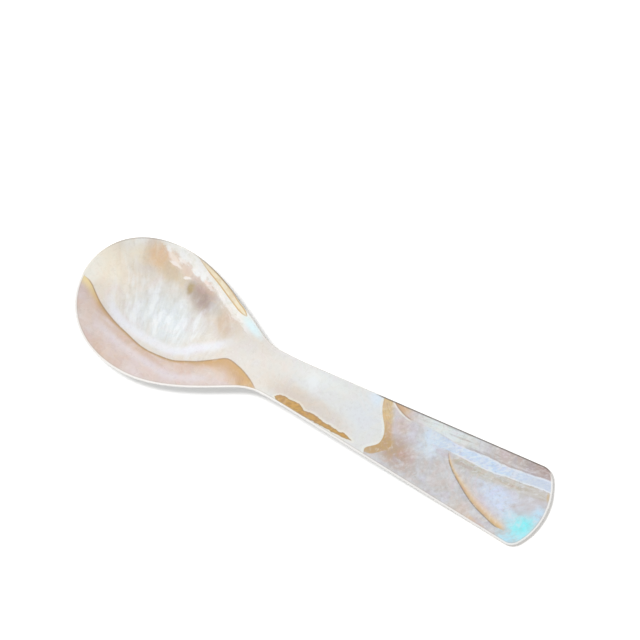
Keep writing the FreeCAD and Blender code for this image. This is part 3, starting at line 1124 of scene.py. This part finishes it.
# %% Belt, and the layers behind it
belt_front = stored("belt_front")
belt_back = stored("belt_back")
tail_fibres = streaks(40, 0.3, 1.3)
tail_blots = mottle(wavy, 0.35, 4.0, 0.6).outputs["Fac"]
tail_colour = coats(
    tail_colour,
    ((226, 230, 242), times(ease(tail_blots, 0.5, 0.68), 0.5)),
    ((196, 178, 172), times(ease(tail_blots, 0.5, 0.34), 0.4)),
    ((230, 231, 238), times(ease(tail_fibres, 0.5, 0.76), 0.35)),
    ((192, 180, 178), times(ease(tail_fibres, 0.5, 0.28), 0.25)),
)
tail_colour = clouds(
    tail_colour,
    [
        ((74.6, -2.0), (3.2, 4.2), -20, (190, 156, 124), 0.95),
        ((74.0, 2.8), (2.6, 2.6), 20, (214, 188, 176), 0.7),
    ],
)
belt_colour = wash(tone(221, 188, 134), tone(196, 154, 94), ease(side, 3.0, -2.0))
belt_colour = wash(belt_colour, tone(186, 144, 86), times(ease(honey_streaks, 0.54, 0.38), 0.35))
belt_ends = ease(side, -6.0, -3.2, 0.9, 1.0)
belt_soft = times(ease(belt_back, -0.8, 0.6, 1.0, 0.0), ease(side, -4.0, -2.0))
belt_crisp = times(ease(belt_back, -0.2, 0.1, 1.0, 0.0), ease(side, -4.0, -2.0, 1.0, 0.0))
belt_fade = times(sum_up("ADD", belt_soft, belt_crisp), belt_ends)
tail_colour = wash(tail_colour, belt_colour, belt_fade)
fold = stored("fold")
fold_here = times(ease(fold, -0.05, 0.15), between(place, 70.2, 78.5, 1.5), 0.95)
fold_colour = wash(tone(204, 160, 114), tone(222, 190, 160), ease(place, 71.5, 75.5))
tail_colour = wash(tail_colour, fold_colour, times(fold_here, ease(place, 73.0, 77.0, 1.0, 0.0)))
fold_span = between(place, 69.8, 75.4, 1)
fold_shade = times(between(fold, -0.02, 0.24, 0.16), fold_span, 0.7)
tail_colour = wash(tail_colour, tone(168, 128, 92), fold_shade)
fold_light = times(between(fold, -0.36, -0.06, 0.2), fold_span, 0.8)
tail_colour = wash(tail_colour, tone(242, 238, 230), fold_light)
print("belt and fold laid on")

# %% [markdown]
# Beside the channel lie, from the far edge inwards: a strip of old grey-brown layers, the
# channel itself in pale blue, the white thread of the ridge, a painted highlight, and a beige
# strip below it.

# %% Strip, channel and ridge
vein = stored("vein")
ridge = stored("ridge")
long_streaks = streaks(5, 0.14, 1.5)
short_streaks = streaks(38, 0.8, 2.0, 2.0, plan)
strip_colour = wash(tone(230, 239, 239), tone(202, 191, 192), ease(place, 84.0, 97.0))
strip_colour = coats(
    strip_colour,
    ((178, 157, 153), times(ease(place, 92.0, 105.0), ease(side, 5.8, 8.3))),
    ((172, 153, 148), times(ease(long_streaks, 0.5, 0.32), ease(place, 80.0, 92.0, 0.3, 0.65))),
    ((226, 220, 222), times(ease(long_streaks, 0.5, 0.7), 0.5)),
    ((234, 234, 240), times(ease(short_streaks, 0.5, 0.72), 0.35)),
)
strip_here = times(ease(vein, -0.1, 0.25), ease(place, 75.0, 80.0))
tail_colour = wash(tail_colour, strip_colour, strip_here)
channel_colour = wash(tone(202, 224, 255), tone(226, 241, 255), ease(short_streaks, 0.42, 0.64))
channel_colour = wash(channel_colour, tone(208, 214, 228), times(ease(place, 98.0, 104.0), 0.6))
channel_here = times(ease(vein, -0.25, 0.1, 1.0, 0.0), ease(ridge, -0.1, 0.1))
channel_here = times(channel_here, ease(place, 76.0, 89.0))
tail_colour = wash(tail_colour, channel_colour, times(channel_here, 0.95))
vein_ragged = sum_up("MULTIPLY_ADD", sum_up("SUBTRACT", jag, 0.5), 0.5, vein)
vein_shade = times(between(vein_ragged, 0.05, 0.4, 0.2), between(place, 88, 106, 4), 0.5)
tail_colour = wash(tail_colour, tone(166, 148, 150), vein_shade)
vein_light = times(between(vein_ragged, -0.35, 0.0, 0.2), between(place, 86, 108, 4), 0.6)
tail_colour = wash(tail_colour, tone(240, 246, 255), vein_light)
beige_here = times(between(ridge, -2.2, -0.1, 1.1), between(place, 87, 109, 2.5), 0.72)
beige_colour = wash(tone(208, 202, 192), tone(190, 178, 156), ease(long_streaks, 0.55, 0.42))
beige_colour = wash(beige_colour, tone(232, 233, 236), times(ease(short_streaks, 0.55, 0.68), 0.7))
tail_colour = wash(tail_colour, beige_colour, beige_here)
ridge_wobble = sum_up("MULTIPLY_ADD", sum_up("SUBTRACT", jag, 0.5), 0.5, ridge)
# painted highlight: a white thread along the edge of the ridge
ridge_highlight = times(between(ridge_wobble, -0.16, 0.16, 0.18), ease(place, 85.0, 88.0), 0.9)
tail_colour = wash(tail_colour, tone(236, 243, 252), ridge_highlight)
print("strip, channel and ridge laid on")

# %% [markdown]
# The lens-shaped hollow begins at a crisp step. Its wall shows the horn layer as a golden
# stripe that fades into the hollow through a soft pinkish-beige wash, partly the layer's colour
# and partly painted shade, and a dark thread of painted shade runs along its upper edge.

# %% Step of the hollow
step = stored("step")
step_span = times(ease(place, 85.4, 86.6), ease(place, 102.2, 104.2, 1.0, 0.0))
in_step = sum_up("DIVIDE", step, stored("step_width"))
# partly painted shade: a soft pinkish-beige wash on the floor of the hollow beside the step
peach_and_shade = times(ease(in_step, 0.4, 2.4, 1.0, 0.0), ease(step, -0.05, 0.1), step_span, 0.6)
tail_colour = wash(tail_colour, tone(222, 200, 186), peach_and_shade)
stripe = times(ease(step, -0.05, 0.08), ease(in_step, 0.25, 1.25, 1.0, 0.0), step_span, 0.95)
stripe_colour = wash(tone(218, 178, 118), tone(242, 213, 172), ease(in_step, 0.1, 0.8))
tail_colour = wash(tail_colour, stripe_colour, stripe)
# painted shade: a dark thread along the crisp upper edge of the step
step_shade_thread = times(between(step, -0.16, 0.1, 0.14), between(place, 86.0, 102.0, 1.5), 0.75)
tail_colour = wash(tail_colour, tone(140, 106, 70), step_shade_thread)
tail_colour = clouds(
    tail_colour,
    [
        ((96.5, -7.9), (2.0, 0.8), -5, (226, 192, 162), 0.75),
        ((99.0, -8.1), (1.2, 0.4), -5, (220, 186, 158), 0.6),
        ((108.7, 3.7), (0.5, 1.5), 20, (208, 180, 130), 0.8),
    ],
    plan,
)
print("step of the hollow laid on")

# %% [markdown]
# Front and back meet at the belt's crisp front side.

# %% Join front and tail
halo = times(between(belt_front, -0.5, -0.05, 0.3), 0.75)
front_colour = wash(front_colour, tone(243, 244, 238), halo)
top_colour = wash(front_colour, tail_colour, ease(belt_front, -0.08, 0.08))
print("front and tail joined along the belt")

# %% [markdown]
# Over all of it goes a fine grain, and then the lustre: a thin wash of pastels whose hue
# drifts slowly, as it does where thin layers split the light. Both are stronger behind the belt.

# %% Pastel lustre
hues = tree.nodes.new("ShaderNodeValToRGB")
hues.color_ramp.interpolation = "EASE"
pastel = (
    (0.30, (242, 208, 217)),
    (0.42, (240, 230, 206)),
    (0.50, (210, 236, 224)),
    (0.58, (205, 224, 246)),
    (0.70, (223, 208, 238)),
)
while len(hues.color_ramp.elements) < len(pastel):
    hues.color_ramp.elements.new(0.5)
for element, (spot, colour) in zip(hues.color_ramp.elements, pastel):
    element.position = spot
    element.color = tone(*colour)
give(hues.inputs[0], mottle(wavy, 0.22, 3.0, 0.6, 1.2).outputs["Fac"])
grain = mottle(plan, 1.1, 5.0, 0.65, 0.6).outputs["Fac"]
calm_corner = ease(place, 101.0, 106.0, 1.0, 0.35)
grain_here = times(ease(belt_front, -1.0, 1.0, 0.14, 0.34), calm_corner)
top_colour = wash(top_colour, tone(250, 250, 252), times(ease(grain, 0.5, 0.72), grain_here))
top_colour = wash(top_colour, tone(168, 152, 142), times(ease(grain, 0.5, 0.28), grain_here))
lustre = times(ease(belt_front, -1.0, 1.0, 0.08, 0.13), calm_corner)
top_colour = wash(top_colour, hues.outputs[0], lustre)
print("pastels:", len(hues.color_ramp.elements))

# %% [markdown]
# The underside was never as bright as the inside of the bowl. It is cream, with the same
# pastels, and faint growth rings cross it where the shell once had its lip.

# %% Underside
ring_wave = tree.nodes.new("ShaderNodeTexWave")
ring_wave.wave_type = "RINGS"
ring_wave.rings_direction = "Z"
give(ring_wave.inputs["Vector"], vector_step("SUBTRACT", wavy, (-40, 24, 0)))
for name, value in (("Scale", 0.05), ("Distortion", 3.5), ("Detail", 3.0), ("Detail Scale", 0.5)):
    ring_wave.inputs[name].default_value = value
rings = ring_wave.outputs["Fac"]
under_blots = mottle(wavy, 0.12, 3.0, 0.55).outputs["Fac"]
under_colour = wash(tone(236, 230, 222), tone(226, 211, 193), ease(under_blots, 0.5, 0.68))
under_colour = coats(
    under_colour,
    ((236, 240, 243), ease(under_blots, 0.5, 0.34)),
    ((208, 186, 158), times(ease(rings, 0.7, 1.0), 0.2)),
    ((246, 243, 238), times(ease(rings, 0.35, 0.0), 0.35)),
)
under_colour = wash(under_colour, hues.outputs[0], 0.25)
under_colour = wash(under_colour, tone(242, 238, 232), times(ease(tail_fibres, 0.5, 0.7), 0.3))
shell_colour = wash(under_colour, top_colour, ease(level_in, 0.25, 0.7))
print("underside laid on")

# %% [markdown]
# From the side the layers are seen end on, as thin lines that run along the spoon and lie
# over each other through its thickness.

# %% Layers in the wall of the edge
stack = tree.nodes.new("ShaderNodeCombineXYZ")
give(stack.inputs[0], times(place, 0.05))
give(stack.inputs[1], times(side, 0.05))
give(stack.inputs[2], times(level_in, 4.5))
layers = mottle(stack.outputs[0], 1.0, 3.0, 0.6).outputs["Fac"]
wall_here = times(ease(inside, 0.24, 0.04), between(level_in, 0.1, 0.95, 0.1))
layer_colour = wash(tone(238, 231, 219), tone(208, 186, 152), ease(layers, 0.5, 0.32))
layer_colour = wash(layer_colour, tone(226, 232, 238), times(ease(layers, 0.55, 0.7), 0.7))
shell_colour = wash(shell_colour, layer_colour, wall_here)
print("layers laid on the wall")

# %% [markdown]
# Along the very edge a pale thread is painted on the near side and round the end: a painted
# highlight on the rounded edge, with a faint grey line just inside it. On the far side a thin
# dark line of painted shade runs along the edge.

# %% Edge
upper_half = ease(level_in, 0.72, 0.92)
near_or_end = sum_up("MAXIMUM", ease(side, 0.5, -0.5), ease(place, 106.0, 108.0))
# painted highlight: a pale thread along the near edge and round the end
near_rim_highlight = times(ease(inside, 0.36, 0.54, 1.0, 0.0), near_or_end, upper_half)
shell_colour = wash(shell_colour, tone(254, 252, 249), times(near_rim_highlight, 0.9))
inner_thread = times(between(inside, 0.42, 0.64, 0.16), ease(side, 0.5, -0.5), upper_half, 0.3)
shell_colour = wash(shell_colour, tone(186, 176, 164), inner_thread)
beside_throat = times(between(place, 19.0, 34.0, 6.0), 0.6)
beside_nose = times(between(place, 2.0, 14.0, 6.0), 0.5)
# painted shade: the places along the far edge where a thin dark line is painted
far_shade_span = sum_up("MAXIMUM", between(place, 67.0, 106.5, 2.0), beside_throat)
far_shade_span = sum_up("MAXIMUM", far_shade_span, beside_nose)
# painted shade: a thin dark line along the far edge, on the upper part of the rim
far_rim_shade = times(ease(inside, 0.08, 0.42, 1.0, 0.0), ease(side, -0.5, 0.5), far_shade_span)
far_rim_shade = times(far_rim_shade, ease(level_in, 0.68, 0.88))
shell_colour = wash(shell_colour, tone(98, 88, 80), times(far_rim_shade, 0.9))
print("edge laid on")

# %% [markdown]
# Polished nacre is smooth, but not glass: the fibres leave a faint relief, the horn layers
# polish duller, and the glint line is a row of tiny chips. One bump node takes them together,
# in millimetres. The underside is the smoothest and keeps only a tenth of them.

# %% Relief and gloss
horn = sum_up("MAXIMUM", honey_here, amber_here)
horn = sum_up("MAXIMUM", horn, times(belt_fade, ease(belt_front, -0.08, 0.08)))
relief = times(broad_fibres, 0.018)
relief = sum_up("MULTIPLY_ADD", fine_fibres, 0.005, relief)
relief = sum_up("MULTIPLY_ADD", sparkle, 0.04, relief)
relief = sum_up("MULTIPLY_ADD", times(short_streaks, channel_here), 0.03, relief)
relief = sum_up("MULTIPLY_ADD", times(amber_grooves, amber_here), 0.03, relief)
relief = times(relief, ease(inside, 0.2, 0.6), ease(level_in, 0.25, 0.7, 0.1, 1.0))
bump = tree.nodes.new("ShaderNodeBump")
bump.inputs["Distance"].default_value = 0.001
give(bump.inputs["Height"], relief)
gloss_noise = mottle(wavy, 0.5, 3.0).outputs["Fac"]
roughness = sum_up("MULTIPLY_ADD", gloss_noise, 0.12, 0.22)
roughness = sum_up("MULTIPLY_ADD", horn, 0.12, roughness)

surface = tree.nodes.new("ShaderNodeBsdfPrincipled")
give(surface.inputs["Base Color"], shell_colour)
give(surface.inputs["Roughness"], roughness)
give(surface.inputs["Normal"], bump.outputs[0])
surface.inputs["IOR"].default_value = 1.55
surface.inputs["Coat Weight"].default_value = 0.12
surface.inputs["Coat Roughness"].default_value = 0.12
give(tree.nodes.new("ShaderNodeOutputMaterial").inputs["Surface"], surface.outputs[0])
skin.materials.append(nacre)
print("the nacre takes", len(tree.nodes), "nodes")

# %% [markdown]
# The spoon lies on a plain white table. Where the table is seen it is painted pure white and
# glows a little of its own, so that it comes out white while the darker part of the spoon's
# shadow still shows on it. The light that it throws up at the spoon is that of white paper.

# %% Table
TABLE_GLOW = 0.2
table_mesh = bpy.data.meshes.new("table_top")
table_mesh.from_pydata([(-3, -3, 0), (3, -3, 0), (3, 3, 0), (-3, 3, 0)], [], [(0, 1, 2, 3)])
table_top = bpy.data.objects.new("table_top", table_mesh)
table_top.location.z = -0.00002
bpy.context.scene.collection.objects.link(table_top)
paper = bpy.data.materials.new("white_table")
paper.use_nodes = True
tree = paper.node_tree
tree.nodes.clear()
rays = tree.nodes.new("ShaderNodeLightPath")
seen = sum_up("MAXIMUM", rays.outputs["Is Camera Ray"], rays.outputs["Is Glossy Ray"])
seen = sum_up("MAXIMUM", seen, rays.outputs["Is Transmission Ray"])
matt = tree.nodes.new("ShaderNodeBsdfDiffuse")
give(matt.inputs["Color"], wash(tone(236, 236, 236), (1.0, 1.0, 1.0, 1), seen))
own_white = tree.nodes.new("ShaderNodeEmission")
give(own_white.inputs["Strength"], times(seen, TABLE_GLOW))
both = tree.nodes.new("ShaderNodeAddShader")
give(both.inputs[0], matt.outputs[0])
give(both.inputs[1], own_white.outputs[0])
give(tree.nodes.new("ShaderNodeOutputMaterial").inputs["Surface"], both.outputs[0])
table_mesh.materials.append(paper)
print("table:", len(table_mesh.polygons), "face, white")

# %% [markdown]
# Pale shell wants light from all round, as in a white tent. The tent gives about half of the
# light and the two lamps of the next cell give the rest. Together they light a level surface at
# strength 1, so that colours come out as they are written.

# %% White tent
TENT_LIGHT = 0.5
TENT_SEEN = 1.0
tent = bpy.data.worlds.new("white_tent")
bpy.context.scene.world = tent
tent.use_nodes = True
tree = tent.node_tree
tree.nodes.clear()
rays = tree.nodes.new("ShaderNodeLightPath")
seen = sum_up("MAXIMUM", rays.outputs["Is Camera Ray"], rays.outputs["Is Glossy Ray"])
seen = sum_up("MAXIMUM", seen, rays.outputs["Is Transmission Ray"])
air = tree.nodes.new("ShaderNodeBackground")
give(air.inputs["Strength"], ease(seen, 0.0, 1.0, TENT_LIGHT, TENT_SEEN))
give(tree.nodes.new("ShaderNodeOutputWorld").inputs["Surface"], air.outputs[0])
print("tent:", tent.name)

# %% [markdown]
# Both lamps stand high over the nose of the bowl. The small one draws the form and a short,
# clear shadow beside the edge. It is kept out of the gloss, because so small a lamp would burn
# white dots into the polish, and the broad one gives the gloss something soft to mirror.


# %% Softboxes
def softbox(name, stands_at, size, watts):
    """Square lamp at a point in metres, facing the spoon."""
    lamp = bpy.data.lights.new(name, "AREA")
    lamp.size = size
    lamp.energy = watts
    holder = bpy.data.objects.new(name, lamp)
    holder.location = stands_at
    aim = -np.array(stands_at)
    tip = np.arccos(-aim[2] / np.linalg.norm(aim))
    swing = np.arctan2(aim[1], aim[0]) - np.pi / 2
    holder.rotation_euler = (float(tip), 0, float(swing))
    bpy.context.scene.collection.objects.link(holder)
    print(name, "of", size, "m gives", watts, "W")
    return holder


softbox("broad_softbox", (-0.36, 0.12, 0.88), 0.5, 1.0)
key = softbox("key_softbox", (-0.29, 0.085, 0.92), 0.13, 4.7)
key.visible_glossy = False

# %% [markdown]
# The photograph looks straight down from about a metre. The spoon lies slantwise in it, so the
# camera is turned by 27.7 degrees.

# %% Camera
SENSOR_WIDTH = 36
TO_SPOON = 0.996
FRAME_WIDTH = 0.13469
CAMERA_TURN = 27.7
view_camera = bpy.data.cameras.new("camera_over_table")
view_camera.sensor_width = SENSOR_WIDTH
view_camera.lens = SENSOR_WIDTH * TO_SPOON / FRAME_WIDTH
over = bpy.data.objects.new("camera_over_table", view_camera)
over.location = (-0.0063, 0.0145, 1.0)
over.rotation_euler = (0, 0, float(np.radians(CAMERA_TURN)))
bpy.context.scene.collection.objects.link(over)
bpy.context.scene.camera = over
bpy.context.scene.view_settings.view_transform = "Standard"
print("camera lens in mm:", round(view_camera.lens, 1))

# %% [markdown]
# Last, the scene is brought up to date.

# %% Finish
bpy.context.view_layer.update()
